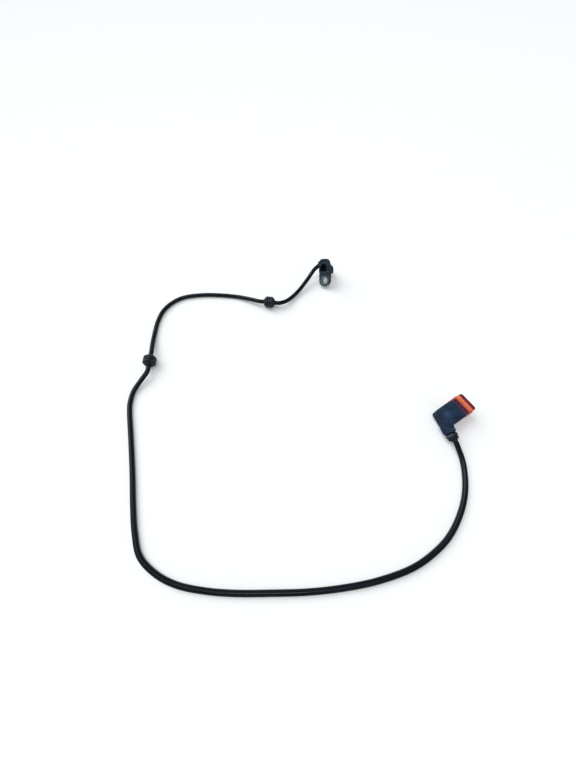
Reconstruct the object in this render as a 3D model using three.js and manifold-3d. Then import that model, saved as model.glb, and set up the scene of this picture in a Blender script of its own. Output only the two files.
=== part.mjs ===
// A wheel speed sensor with its own lead: the sensing head, a round cable with two
// rubber grommets, and an angled sealed plug. Millimetres, +Z up, floor at z = 0.
// The origin is the middle of the head's footprint.
import * as THREE from "three";
import { mergeVertices } from "three/addons/utils/BufferGeometryUtils.js";
import Module from "manifold-3d";

const wasm = await Module();
wasm.setup();

const degree = Math.PI / 180;
const gap = 0.3; // between pieces that touch
const through = 2; // how far a cutter runs past the face it opens
const zAxis = new THREE.Vector3(0, 0, 1);
const xAxis = new THREE.Vector3(1, 0, 0);
const sides = { thin: 16, small: 20, sleeve: 28, plain: 32, bush: 40 }; // of turned pieces

// Head frame: X across the flange, Y from the bush to the far end, Z out of its outer face
const flange = { halfWidth: 6.8, thickness: 7.5, endY: 22.9, cornerRadius: 6.2, edge: 0.6 };
const dome = {
  halfWidth: 6.6,
  startY: 8.4,
  endY: 24.8,
  bottomZ: 5.5,
  topZ: 10.4,
  edge: 1.2,
  footRadius: 2,
  cornerRadius: 4.6,
};
const pocket = { x: -0.8, halfWidth: 3.9, startY: 10.4, endY: 19, floorZ: 6.3, footRadius: 0.8 };
const bush = { outerRadius: 4.7, boreRadius: 3.1, stand: 0.3, chamfer: 0.35 };
const nose = {
  y: 13.6,
  halfWidth: 6.8,
  halfHeight: 5.5,
  footRadius: 1.5,
  length: 15.7,
  chamfer: 0.7,
  wall: 1.4,
  intoFlange: 2,
};
const noseRib = { width: 1.2, height: 0.35, startZ: -1.6, length: 10, spread: 3.2 };
const noseCollar = { stand: 0.6, height: 1.1 };
const noseGroove = { startZ: -13.5, width: 1.1, depth: 0.5 };
const outlet = { x: -6.4, y: 19.3, z: 3.2, slant: 38 * degree, radius: 3.4, inside: 3, reach: 1.2 };
const headLean = 47.4 * degree; // flange face against the floor, resting on bush end and nose tip
const headRoll = 21 * degree; // about the flange's length, held by the cable
const headTurn = 3 * degree; // about the upright

// Rooms inside the housing: one down the nose, one beside it, and the way to the cable
const noseRoom = { radius: 4.2, topZ: 4.6 };
const sideRoom = { x: -0.9, y: 18.4, radius: 2.7, bottomZ: 1, topZ: 5.1 };
const coreWay = { radius: 2.1, overlap: 0.6 };

// Sensing element, along the nose
const carrier = { radius: 3.85, flatY: 0.6, topZ: -1.2, bottomGap: 0.35, slotBackY: -2 };
const chip = { width: 5.2, thickness: 1.5, depth: 3.1, y: 0.2, lift: 0.6 };
const magnet = { width: 4.6, depth: 2.6, height: 3, lift: 0.9 };
const lead = { width: 0.75, thickness: 0.4, spacing: 1.3, length: 5.4 };
const splice = { radius: 0.95, length: 3.2, y: 2.1 };
const core = { radius: 0.85, sides: 8, steps: 15 };

// Cable and grommets
const cable = { radius: 2.4, sides: 10, steps: 80 };
const grommet = {
  radius: 6.7,
  grooveRadius: 5.9,
  endRadius: 3.4,
  halfLength: 6.5,
  shoulder: 4.1,
  lips: 3,
  lipRise: 0.3,
};

// Plug frame: X along the mating direction, leg towards -Y, Z out of the face that looks up
const plugRoll = 2 * degree;
const plugHeading = 32.4 * degree;
const plugPlace = { x: 108.16, y: -189.67 };
const cover = {
  backX: -14.6,
  lean: 13 * degree,
  cornerReach: 4.5,
  backRound: 4,
  frontX: 7.2,
  halfWidth: 9.7,
  halfHeight: 7,
  round: 2.6,
  wall: 1.5,
};
const leg = {
  endX: -14,
  endY: -14,
  lean: 13 * degree,
  endRadius: 5.7,
  rootRadius: 6,
  rootInside: 6,
  capRadius: 4.6,
  capInside: 10,
  tipRadius: 2,
  tipInside: 12,
};
const relief = {
  length: 7.4,
  bodyRadius: 3.8,
  grooveRadius: 4.5,
  slope: 0.4,
  tipRadius: 3.4,
  tipZ: 6.5,
  inside: 5,
};
const reliefRings = [
  { radius: 5.4, startZ: 0.9, endZ: 3.9 },
  { radius: 4.8, startZ: 4.4, endZ: 6.2 },
];
const coreBore = { radius: 2.9, inside: 9.5 };
const contacts = { spacing: 3, bore: 1.75 };
const contactBlock = { backX: -1.2, frontX: 19.2, halfWidth: 6.8, halfHeight: 5, round: 2 };
const collar = { endX: 12.3, inset: 0.3, edge: 0.3 };
const collarPocket = { count: 6, pitch: 2.7, size: 1.4, depth: 1, x: 9.9 };
const seal = { startX: 12.6, endX: 16.9, stand: 0.55, grooveDepth: 0.9, edge: 0.4 };
const retainer = { startX: 17.2, endX: 20.9, inset: 0.2, edge: 0.5 };
const mouth = { depth: 2.2, width: 1.9, height: 1.1 };
const terminal = {
  startX: 3.3,
  length: 11,
  halfSize: 1.3,
  barrelRadius: 1.05,
  barrelLength: 3.2,
  mouthLength: 4,
  mouthWidth: 1.5,
  mouthHeight: 0.8,
};
const wireSeal = { radius: 1.65, rootRadius: 1.4, startX: -0.9, length: 3.6, ribs: 3, fit: 0.15 };
const lock = { startX: 4.4, length: 2.2, halfWidth: 4.6, bottomZ: 1.75 };

// Cable route by hand, from inside the head to inside the plug's leg
const route = [
  [-6.54, 5.39, 20.7],
  [-11.34, 3.78, 16.5],
  [-14.64, 2.63, 13.46],
  [-19.04, -2.27, 9.8],
  [-24.64, -10.37, 7.1],
  [-33.84, -23.57, 4.4],
  [-43.84, -35.87, 4],
  [-50.74, -43.07, 5.6],
  [-57.84, -46.57, 6.7],
  [-64.74, -45.87, 6.7],
  [-74.74, -44.67, 6.7],
  [-81.64, -43.87, 6.7],
  [-94.24, -38.37, 4.9],
  [-109.64, -32.67, 2.7],
  [-132.04, -29.77, 2.45],
  [-155.24, -29.77, 2.45],
  [-175.44, -33.87, 2.45],
  [-187.24, -42.17, 2.45],
  [-195.64, -54.97, 2.45],
  [-198.94, -71.07, 2.45],
  [-198.94, -88.27, 2.6],
  [-197.24, -104.47, 4.4],
  [-194.84, -117.67, 6.7],
  [-194.54, -124.67, 6.7],
  [-194.14, -134.67, 6.7],
  [-194.04, -141.67, 6.7],
  [-199.34, -151.87, 4.9],
  [-204.74, -162.67, 2.7],
  [-205.24, -175.47, 2.45],
  [-203.14, -185.77, 2.45],
  [-195.84, -210.27, 2.45],
  [-186.14, -243.57, 2.45],
  [-178.14, -273.37, 2.45],
  [-172.44, -291.57, 2.45],
  [-164.64, -308.27, 2.45],
  [-149.74, -320.07, 2.45],
  [-132.24, -327.27, 2.45],
  [-109.24, -331.17, 2.45],
  [-86.94, -332.57, 2.45],
  [-59.94, -332.47, 2.45],
  [-32.94, -331.77, 2.45],
  [-5.74, -329.27, 2.45],
  [21.46, -324.67, 2.45],
  [48.76, -316.57, 2.45],
  [66.16, -307.57, 2.45],
  [82.06, -295.67, 2.45],
  [95.36, -279.77, 2.45],
  [105.26, -261.27, 2.45],
  [110.06, -242.57, 2.45],
  [110.36, -231.37, 3.5],
  [108.56, -223.57, 5.4],
  [106.95, -217.85, 6.98],
  [104.8, -211.72, 7.21],
  [102.49, -205.17, 7.44],
];
const grommets = [
  { name: "grommet_near_head", x: -69.7, y: -45.3, heading: -7 * degree },
  { name: "grommet_mid_cable", x: -194.4, y: -128.2, heading: 92.4 * degree },
];

function materialOf(color, roughness, metalness = 0) {
  return new THREE.MeshStandardMaterial({ color, roughness, metalness });
}

const finishes = {
  housing: materialOf(0x1f242b, 0.45),
  jacket: materialOf(0x14181f, 0.35),
  rubber: materialOf(0x1b1e22, 0.75),
  steel: materialOf(0x9aa0a6, 0.4, 0.9),
  carrier: materialOf(0x2e2a26, 0.5),
  magnet: materialOf(0x3c3c40, 0.5, 0.7),
  chip: materialOf(0x18181a, 0.3),
  brass: materialOf(0xb79a55, 0.35, 0.9),
  coreBrown: materialOf(0x5a3420, 0.5),
  coreBlue: materialOf(0x24406e, 0.5),
  violet: materialOf(0x5b2a5e, 0.45),
  darkViolet: materialOf(0x3a1236, 0.4),
  orange: materialOf(0xe86c22, 0.5),
  lock: materialOf(0xc9c4b8, 0.5),
};

function solidOf(geometry) {
  const plain = geometry.clone();
  plain.deleteAttribute("normal");
  plain.deleteAttribute("uv");
  const merged = mergeVertices(plain, 1e-4);
  return new wasm.Manifold(
    new wasm.Mesh({
      numProp: 3,
      vertProperties: merged.attributes.position.array,
      triVerts: new Uint32Array(merged.index.array),
    }),
  );
}

function geometryOf(solid) {
  const mesh = solid.getMesh();
  const geometry = new THREE.BufferGeometry();
  geometry.setAttribute("position", new THREE.BufferAttribute(mesh.vertProperties, 3));
  geometry.setIndex(new THREE.BufferAttribute(mesh.triVerts, 1));
  geometry.computeVertexNormals();
  return geometry;
}

function joined(...geometries) {
  return geometries.map(solidOf).reduce((sum, next) => sum.add(next));
}

function cut(base, ...cutters) {
  return cutters.map(solidOf).reduce((rest, next) => rest.subtract(next), base);
}

function pieceOf(name, shape, finish) {
  const geometry = shape instanceof THREE.BufferGeometry ? shape : geometryOf(shape);
  const mesh = new THREE.Mesh(geometry, finish);
  mesh.name = name;
  return mesh;
}

// A prism of an outline in XY from bottomZ to topZ, with its edges bevelled by edge
function prism(outline, bottomZ, topZ, edge = 0, bevelSegments = 2) {
  const geometry = new THREE.ExtrudeGeometry(outline, {
    depth: topZ - bottomZ - 2 * edge,
    bevelEnabled: edge > 0,
    bevelThickness: edge,
    bevelSize: edge,
    bevelOffset: -edge,
    bevelSegments,
    curveSegments: 7,
  });
  return geometry.translate(0, 0, bottomZ + edge);
}

function roundedRectangle(x, y, halfWidth, halfHeight, radius) {
  const left = x - halfWidth + radius;
  const right = x + halfWidth - radius;
  const low = y - halfHeight + radius;
  const high = y + halfHeight - radius;
  const shape = new THREE.Shape();
  shape.absarc(right, low, radius, -90 * degree, 0);
  shape.absarc(right, high, radius, 0, 90 * degree);
  shape.absarc(left, high, radius, 90 * degree, 180 * degree);
  shape.absarc(left, low, radius, 180 * degree, 270 * degree);
  return shape;
}

// A bar along X with a rounded rectangular section, as the plug's pieces have
function sleeve(startX, endX, halfWidth, halfHeight, radius, edge = 0, bevelSegments = 1) {
  const section = roundedRectangle(0, 0, halfWidth, halfHeight, radius);
  const body = prism(section, startX, endX, edge, bevelSegments);
  return body.rotateX(90 * degree).rotateZ(90 * degree);
}

// A turned piece about Z from [radius, z] points; one that starts off the axis is a ring
function turned(points, segments = sides.plain) {
  const closed = points[0][0] > 0 ? [...points, points[0]] : points;
  return new THREE.LatheGeometry(
    closed.map(([radius, z]) => new THREE.Vector2(radius, z)),
    segments,
  ).rotateX(90 * degree);
}

function rod(radius, bottomZ, topZ, segments = sides.plain) {
  return turned([[0, bottomZ], [radius, bottomZ], [radius, topZ], [0, topZ]], segments);
}

// Turns a piece made about Z so that its axis points along direction from start
function aimed(geometry, start, direction) {
  const turn = new THREE.Quaternion().setFromUnitVectors(zAxis, direction.clone().normalize());
  return geometry.applyQuaternion(turn).translate(start.x, start.y, start.z);
}

function boxAt(sizeX, sizeY, sizeZ, x, y, z) {
  return new THREE.BoxGeometry(sizeX, sizeY, sizeZ).translate(x, y, z);
}

// A round wire or cable along a smooth curve
function tube(points, radius, sectionSides, steps) {
  const section = new THREE.Shape();
  for (let i = 0; i < sectionSides; i++) {
    const angle = (i / sectionSides) * 360 * degree;
    const x = radius * Math.cos(angle);
    const y = radius * Math.sin(angle);
    if (i === 0) section.moveTo(x, y);
    else section.lineTo(x, y);
  }
  const path = new THREE.CatmullRomCurve3(
    points.map((point) => new THREE.Vector3(...point)),
    false,
    "centripetal",
  );
  return new THREE.ExtrudeGeometry(section, { steps, extrudePath: path, bevelEnabled: false });
}

// The flange outline: round about the bush, straight sides, a rounded far end
function flangeOutline() {
  const { halfWidth, endY, cornerRadius } = flange;
  const side = halfWidth - cornerRadius;
  const shape = new THREE.Shape();
  shape.absarc(0, 0, halfWidth, 180 * degree, 360 * degree);
  shape.absarc(side, endY - cornerRadius, cornerRadius, 0, 90 * degree);
  shape.absarc(-side, endY - cornerRadius, cornerRadius, 90 * degree, 180 * degree);
  return shape;
}

function domeOutline() {
  const { halfWidth, startY, endY, footRadius, cornerRadius } = dome;
  const foot = halfWidth - footRadius;
  const side = halfWidth - cornerRadius;
  const shape = new THREE.Shape();
  shape.absarc(-foot, startY + footRadius, footRadius, 180 * degree, 270 * degree);
  shape.absarc(foot, startY + footRadius, footRadius, 270 * degree, 360 * degree);
  shape.absarc(side, endY - cornerRadius, cornerRadius, 0, 90 * degree);
  shape.absarc(-side, endY - cornerRadius, cornerRadius, 90 * degree, 180 * degree);
  return shape;
}

function pocketOutline() {
  const { x, halfWidth, startY, endY, footRadius } = pocket;
  const foot = halfWidth - footRadius;
  const shape = new THREE.Shape();
  shape.absarc(x - foot, startY + footRadius, footRadius, 180 * degree, 270 * degree);
  shape.absarc(x + foot, startY + footRadius, footRadius, 270 * degree, 360 * degree);
  shape.absarc(x, endY - halfWidth, halfWidth, 0, 180 * degree);
  return shape;
}

const outletMouth = new THREE.Vector3(outlet.x, outlet.y, outlet.z);
const outletDirection = new THREE.Vector3(-Math.cos(outlet.slant), -Math.sin(outlet.slant), 0);

function alongOutlet(distance) {
  return outletMouth.clone().addScaledVector(outletDirection, distance);
}

// The nose's section: flat towards the bush, round towards the far end
function noseOutline(stand = 0) {
  const { y, halfWidth, halfHeight, footRadius } = nose;
  const foot = halfWidth + stand - footRadius;
  const low = y - halfHeight - stand;
  const round = halfHeight + stand;
  const side = halfWidth - halfHeight;
  const shape = new THREE.Shape();
  shape.absarc(-foot, low + footRadius, footRadius, 180 * degree, 270 * degree);
  shape.absarc(foot, low + footRadius, footRadius, 270 * degree, 360 * degree);
  shape.absarc(side, y, round, 0, 90 * degree);
  shape.absarc(-side, y, round, 90 * degree, 180 * degree);
  return shape;
}

function makeNose() {
  const { y, halfWidth, halfHeight, length, chamfer, intoFlange } = nose;
  const ribZ = noseRib.startZ - noseRib.length / 2;
  const sideWidth = 2 * (halfWidth + noseRib.height);
  const ribDepth = halfHeight + noseRib.height;
  const rib = (x, ribY) => boxAt(noseRib.width, ribDepth, noseRib.length, x, ribY, ribZ);
  const body = joined(
    prism(noseOutline(), -length, intoFlange, chamfer),
    prism(noseOutline(noseCollar.stand), -noseCollar.height, intoFlange),
    boxAt(sideWidth, noseRib.width, noseRib.length, 0, y, ribZ),
    rib(noseRib.spread, y - ribDepth / 2),
    rib(-noseRib.spread, y - ribDepth / 2),
    rib(0, y + ribDepth / 2),
  );
  const grooveEndZ = noseGroove.startZ + noseGroove.width;
  const ring = cut(
    solidOf(prism(noseOutline(through), noseGroove.startZ, grooveEndZ)),
    prism(noseOutline(-noseGroove.depth), noseGroove.startZ - through, grooveEndZ + through),
  );
  return body.subtract(ring);
}

function makeHousing() {
  const { thickness, edge } = flange;
  const boss = rod(outlet.radius, -outlet.inside, outlet.reach);
  const outer = joined(
    prism(flangeOutline(), 0, thickness, edge),
    prism(domeOutline(), dome.bottomZ, dome.topZ, dome.edge),
    aimed(boss, outletMouth, outletDirection),
  ).add(makeNose());
  const cableEnd = alongOutlet(-outlet.inside);
  const roomCentre = new THREE.Vector3(sideRoom.x, sideRoom.y, outlet.z);
  const toRoom = roomCentre.clone().sub(cableEnd);
  const bore = rod(cable.radius + gap, -outlet.inside, outlet.reach + through);
  return cut(
    outer,
    rod(bush.outerRadius + gap, -through, thickness + through),
    prism(pocketOutline(), pocket.floorZ, dome.topZ + through),
    rod(noseRoom.radius, nose.wall - nose.length, noseRoom.topZ).translate(0, nose.y, 0),
    rod(sideRoom.radius, sideRoom.bottomZ, sideRoom.topZ).translate(sideRoom.x, sideRoom.y, 0),
    aimed(rod(coreWay.radius, -coreWay.overlap, toRoom.length()), cableEnd, toRoom),
    aimed(bore, outletMouth, outletDirection),
  );
}

function makeBush() {
  const { outerRadius, boreRadius, stand, chamfer } = bush;
  const bottom = -stand;
  const top = flange.thickness + stand;
  return turned(
    [
      [boreRadius + chamfer, bottom],
      [outerRadius - chamfer, bottom],
      [outerRadius, bottom + chamfer],
      [outerRadius, top - chamfer],
      [outerRadius - chamfer, top],
      [boreRadius + chamfer, top],
      [boreRadius, top - chamfer],
      [boreRadius, bottom + chamfer],
    ],
    sides.bush,
  );
}

// Heights along the nose, from its closed tip upwards
const carrierBottomZ = nose.wall - nose.length + carrier.bottomGap;
const chipZ = carrierBottomZ + chip.lift + chip.thickness / 2;
const magnetZ = chipZ + chip.thickness / 2 + magnet.lift + magnet.height / 2;
const leadBottomZ = chipZ + chip.thickness / 2 + gap;
const spliceBottomZ = leadBottomZ + lead.length + gap;
const spliceTopZ = spliceBottomZ + splice.length;

function makeChipCarrier() {
  const { radius, flatY, topZ, slotBackY } = carrier;
  const slotDepth = 2 * radius;
  const flatHeight = topZ - chipZ + through;
  const slotWidth = chip.width + 2 * gap;
  const slotHeight = chip.thickness + 2 * gap;
  const roomDepth = magnet.depth + gap;
  const roomHeight = magnet.height + 2 * gap;
  return cut(
    solidOf(rod(radius, carrierBottomZ, topZ, sides.sleeve)),
    boxAt(slotDepth, slotDepth, flatHeight, 0, flatY + slotDepth / 2, chipZ + flatHeight / 2),
    boxAt(slotWidth, slotDepth, slotHeight, 0, slotBackY + slotDepth / 2, chipZ),
    boxAt(magnet.width + 2 * gap, roomDepth, roomHeight, 0, flatY - magnet.depth / 2, magnetZ),
  );
}

function makeSensingElement() {
  const group = new THREE.Group();
  group.position.y = nose.y;
  const magnetDepth = magnet.depth - gap;
  const magnetY = carrier.flatY - magnetDepth / 2 - gap / 2;
  const chipBody = boxAt(chip.width, chip.depth, chip.thickness, 0, chip.y, chipZ);
  const magnetBody = boxAt(magnet.width, magnetDepth, magnet.height, 0, magnetY, magnetZ);
  group.add(pieceOf("chip_carrier", makeChipCarrier(), finishes.carrier));
  group.add(pieceOf("sensing_chip", chipBody, finishes.chip));
  group.add(pieceOf("bias_magnet", magnetBody, finishes.magnet));
  const { width, thickness, length, spacing } = lead;
  const leadY = carrier.flatY + gap + thickness / 2;
  const leadZ = leadBottomZ + length / 2;
  for (const [name, x] of [["signal", -spacing], ["supply", spacing]]) {
    const leadBody = boxAt(width, thickness, length, x, leadY, leadZ);
    const spliceBody = rod(splice.radius, spliceBottomZ, spliceTopZ, sides.thin);
    spliceBody.translate(x, splice.y, 0);
    group.add(pieceOf("chip_lead_" + name, leadBody, finishes.brass));
    group.add(pieceOf("lead_splice_" + name, spliceBody, finishes.brass));
  }
  return group;
}

// The two insulated cores between the cable's end and the splices on the chip's leads
function makeHeadCores() {
  const group = new THREE.Group();
  const spliceY = nose.y + splice.y;
  const endZ = spliceTopZ + gap;
  const routes = {
    signal: [
      [-4.8, 20.55, 2.25],
      [-4.2, 20.95, 2.25],
      [-3.2, 20.4, 2.3],
      [-2.2, 19.1, 2.6],
      [-1.6, 17.2, 2.4],
      [-1.4, 16.2, 0.8],
      [-lead.spacing, spliceY, -1.4],
      [-lead.spacing, spliceY, endZ],
    ],
    supply: [
      [-4.8, 20.55, 4.15],
      [-4.2, 20.95, 4.15],
      [-3.1, 20.4, 4.15],
      [-1, 19.2, 4.1],
      [0.6, 17.3, 3.4],
      [1.2, 16.2, 1.5],
      [lead.spacing, spliceY, -0.8],
      [lead.spacing, spliceY, endZ],
    ],
  };
  const colors = { signal: finishes.coreBrown, supply: finishes.coreBlue };
  for (const name of ["signal", "supply"]) {
    const wire = tube(routes[name], core.radius, core.sides, core.steps);
    group.add(pieceOf("head_core_" + name, wire, colors[name]));
  }
  return group;
}

function makeHead() {
  const head = new THREE.Group();
  head.add(pieceOf("sensor_housing", makeHousing(), finishes.housing));
  head.add(pieceOf("mounting_bush", makeBush(), finishes.steel));
  head.add(makeSensingElement());
  head.add(makeHeadCores());
  head.rotation.set(headLean, -headRoll, 0);
  const turnedHead = new THREE.Group();
  turnedHead.add(head);
  turnedHead.rotation.z = headTurn;
  const box = new THREE.Box3().setFromObject(turnedHead, true);
  const middle = box.getCenter(new THREE.Vector3());
  turnedHead.position.set(-middle.x, -middle.y, -box.min.z);
  return turnedHead;
}

function makeCable() {
  return pieceOf("cable", tube(route, cable.radius, cable.sides, cable.steps), finishes.jacket);
}

function makeGrommet({ name, x, y, heading }) {
  const { radius, grooveRadius, endRadius, halfLength, shoulder, lips, lipRise } = grommet;
  const bore = cable.radius + gap;
  const pitch = (2 * shoulder) / lips;
  const rise = lipRise * pitch;
  const profile = [[bore, -halfLength], [endRadius, -halfLength], [grooveRadius, -shoulder]];
  for (let i = 0; i < lips; i++) {
    const z = -shoulder + i * pitch;
    profile.push([radius, z + rise], [radius, z + pitch - rise], [grooveRadius, z + pitch]);
  }
  profile.push([endRadius, halfLength], [bore, halfLength]);
  const direction = new THREE.Vector3(Math.cos(heading), Math.sin(heading), 0);
  const place = new THREE.Vector3(x, y, radius);
  return pieceOf(name, aimed(turned(profile, sides.sleeve), place, direction), finishes.rubber);
}

// The cover in plan: its back edge leans in line with the leg, its far back corner is round
function coverOutline() {
  const { backX, lean, cornerReach, frontX, halfWidth } = cover;
  const backAt = (y) => backX + y * Math.tan(lean);
  const shape = new THREE.Shape();
  shape.moveTo(frontX, -halfWidth);
  shape.lineTo(frontX, halfWidth);
  shape.lineTo(backAt(halfWidth) + cornerReach, halfWidth);
  const turnY = halfWidth - cornerReach;
  shape.quadraticCurveTo(backAt(halfWidth), halfWidth, backAt(turnY), turnY);
  shape.lineTo(backAt(-halfWidth), -halfWidth);
  return shape;
}

// The cover's body, or its hollow when inset by the wall
function coverBlock(inset) {
  const { backX, lean, backRound, frontX, halfWidth, halfHeight, round } = cover;
  const halfLength = frontX - backX;
  const height = halfHeight - inset;
  const bar = solidOf(sleeve(-2 * halfLength, frontX, halfWidth - inset, height, round - inset));
  const side = roundedRectangle(halfLength + inset, 0, halfLength, height, backRound - inset);
  const back = prism(side, -2 * halfWidth, 2 * halfWidth).rotateX(90 * degree);
  return bar.intersect(solidOf(back.rotateZ(-lean).translate(backX, 0, 0)));
}

const legEnd = new THREE.Vector3(leg.endX, leg.endY, 0);
const legDirection = new THREE.Vector3(-Math.sin(leg.lean), -Math.cos(leg.lean), 0);

function makeCover() {
  const { halfHeight, frontX, halfWidth, wall, round } = cover;
  const legBody = turned([
    [0, -leg.tipInside],
    [leg.tipRadius, -leg.tipInside],
    [leg.capRadius, -leg.capInside],
    [leg.rootRadius, -leg.rootInside],
    [leg.endRadius, 0],
    [0, 0],
  ]);
  const plan = solidOf(prism(coverOutline(), -halfHeight, halfHeight));
  const outer = coverBlock(0)
    .intersect(plan)
    .add(solidOf(aimed(legBody, legEnd, legDirection)));
  const hollow = outer.subtract(coverBlock(wall));
  const mouthStart = frontX - through;
  return cut(
    hollow,
    sleeve(mouthStart, frontX + through, halfWidth - wall, halfHeight - wall, round - wall),
    aimed(rod(relief.bodyRadius + gap, -relief.inside - gap, through), legEnd, legDirection),
    aimed(rod(coreBore.radius, -coreBore.inside, through), legEnd, legDirection),
  );
}

function makeContactCarrier() {
  const { backX, frontX, halfWidth, halfHeight, round } = contactBlock;
  const collarWidth = cover.halfWidth - collar.inset;
  const collarHeight = cover.halfHeight - collar.inset;
  const collarStart = cover.frontX + gap;
  const { count, pitch, size, depth, x } = collarPocket;
  const cutters = [];
  for (const face of [-1, 1]) {
    for (let i = 0; i < count; i++) {
      const y = (i - (count - 1) / 2) * pitch;
      cutters.push(boxAt(size, size, 2 * depth, x, y, face * collarHeight));
    }
  }
  const portLength = frontX - backX + 2 * through;
  const portX = (frontX + backX) / 2;
  const port = 2 * contacts.bore;
  for (const y of [-contacts.spacing, contacts.spacing]) {
    cutters.push(boxAt(portLength, port, port, portX, y, 0));
  }
  const slotBottom = lock.bottomZ - gap;
  const slotHeight = halfHeight + through - slotBottom;
  const slotX = lock.startX + lock.length / 2;
  const slotLength = lock.length + 2 * gap;
  const slotWidth = 2 * (lock.halfWidth + gap);
  cutters.push(boxAt(slotLength, slotWidth, slotHeight, slotX, 0, slotBottom + slotHeight / 2));
  const body = joined(
    sleeve(backX, frontX, halfWidth, halfHeight, round),
    sleeve(collarStart, collar.endX, collarWidth, collarHeight, cover.round, collar.edge),
  );
  return cut(body, ...cutters);
}

function makePlugSeal() {
  const { startX, endX, stand, grooveDepth, edge } = seal;
  const width = cover.halfWidth + stand;
  const height = cover.halfHeight + stand;
  const round = cover.round + stand;
  const lipLength = (endX - startX - grooveDepth) / 2;
  const low = width - grooveDepth;
  const flat = height - grooveDepth;
  const ring = joined(
    sleeve(startX, startX + lipLength, width, height, round, edge),
    sleeve(endX - lipLength, endX, width, height, round, edge),
    sleeve(startX + edge, endX - edge, low, flat, round - grooveDepth),
  );
  const inner = contactBlock.halfWidth + gap;
  const innerHeight = contactBlock.halfHeight + gap;
  const opening = contactBlock.round + gap;
  return cut(ring, sleeve(startX - through, endX + through, inner, innerHeight, opening));
}

function makeFrontRetainer() {
  const { startX, endX, inset, edge } = retainer;
  const { frontX, halfWidth, halfHeight, round } = contactBlock;
  const width = cover.halfWidth - inset;
  const height = cover.halfHeight - inset;
  const recess = sleeve(startX - through, frontX + gap, halfWidth + gap, halfHeight + gap, round);
  const cutters = [recess];
  for (const y of [-contacts.spacing, contacts.spacing]) {
    cutters.push(boxAt(2 * mouth.depth, mouth.width, mouth.height, endX, y, 0));
  }
  return cut(solidOf(sleeve(startX, endX, width, height, cover.round, edge, 2)), ...cutters);
}

function makeTerminal(name, y) {
  const { startX, length, halfSize, barrelRadius, barrelLength } = terminal;
  const boxX = startX + barrelLength;
  const barrel = rod(barrelRadius, 0, barrelLength + halfSize, sides.thin);
  const body = joined(
    boxAt(length, 2 * halfSize, 2 * halfSize, boxX + length / 2, y, 0),
    aimed(barrel, new THREE.Vector3(startX, y, 0), xAxis),
  );
  const { mouthLength, mouthWidth, mouthHeight } = terminal;
  const opening = boxAt(2 * mouthLength, mouthWidth, mouthHeight, boxX + length, y, 0);
  return pieceOf("terminal_" + name, cut(body, opening), finishes.brass);
}

function makeWireSeal(name, y) {
  const { radius, rootRadius, startX, length, ribs, fit } = wireSeal;
  const hole = core.radius + fit;
  const pitch = length / ribs;
  const profile = [[hole, 0]];
  for (let i = 0; i < ribs; i++) {
    profile.push([rootRadius, i * pitch], [radius, (i + 0.5) * pitch]);
  }
  profile.push([rootRadius, length], [hole, length]);
  const body = aimed(turned(profile, sides.small), new THREE.Vector3(startX, y, 0), xAxis);
  return pieceOf("wire_seal_" + name, body, finishes.orange);
}

// Each core runs from the cable's end in the leg, round the corner, into its terminal
function makePlugCore(name, y, finish) {
  const endX = terminal.startX - gap;
  const routes = {
    signal: [[-14, -9.6], [-13.65, -8.1], [-12.6, -5.3], [-11, -2.6], [-9, 0.6], [-6.2, 2.6]],
    supply: [[-12, -9.6], [-11.65, -8.1], [-10.4, -5.6], [-7.6, -3.9]],
  };
  const points = [...routes[name], [-3, y], [endX, y]].map(([x, pointY]) => [x, pointY, 0]);
  return pieceOf("plug_core_" + name, tube(points, core.radius, core.sides, core.steps), finish);
}

// A grooved rubber sleeve: pressed into the leg, two rings outside, a short tip on the cable
function makeStrainRelief() {
  const { length, inside, bodyRadius, grooveRadius, slope, tipRadius, tipZ } = relief;
  const bore = cable.radius + gap;
  const profile = [[bore, -inside], [bodyRadius, -inside], [bodyRadius, gap], [grooveRadius, gap]];
  for (const { radius, startZ, endZ } of reliefRings) {
    profile.push([grooveRadius, startZ], [radius, startZ + slope]);
    profile.push([radius, endZ - slope], [grooveRadius, endZ]);
  }
  profile.push([tipRadius, tipZ], [tipRadius, length], [bore, length]);
  return aimed(turned(profile, sides.sleeve), legEnd, legDirection);
}

function makeLock() {
  const { startX, length, halfWidth, bottomZ } = lock;
  const topZ = contactBlock.halfHeight;
  const middleZ = (bottomZ + topZ) / 2;
  return boxAt(length, 2 * halfWidth, topZ - bottomZ, startX + length / 2, 0, middleZ);
}

function makePlug() {
  const plug = new THREE.Group();
  plug.add(pieceOf("plug_cover", makeCover(), finishes.housing));
  plug.add(pieceOf("contact_carrier", makeContactCarrier(), finishes.violet));
  plug.add(pieceOf("plug_seal", makePlugSeal(), finishes.orange));
  plug.add(pieceOf("front_retainer", makeFrontRetainer(), finishes.darkViolet));
  plug.add(pieceOf("terminal_lock", makeLock(), finishes.lock));
  plug.add(pieceOf("strain_relief", makeStrainRelief(), finishes.rubber));
  const ways = [
    ["signal", contacts.spacing, finishes.coreBrown],
    ["supply", -contacts.spacing, finishes.coreBlue],
  ];
  for (const [name, y, finish] of ways) {
    plug.add(makeTerminal(name, y));
    plug.add(makeWireSeal(name, y));
    plug.add(makePlugCore(name, y, finish));
  }
  plug.rotation.set(plugRoll, 0, plugHeading, "ZYX");
  const box = new THREE.Box3().setFromObject(plug, true);
  plug.position.set(plugPlace.x, plugPlace.y, -box.min.z);
  return plug;
}

const sensor = new THREE.Group();
sensor.add(makeHead());
sensor.add(makeCable());
sensor.add(...grommets.map(makeGrommet));
sensor.add(makePlug());

export default sensor;
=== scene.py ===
import math

import bmesh
import bpy
from mathutils import Matrix, Vector


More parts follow.
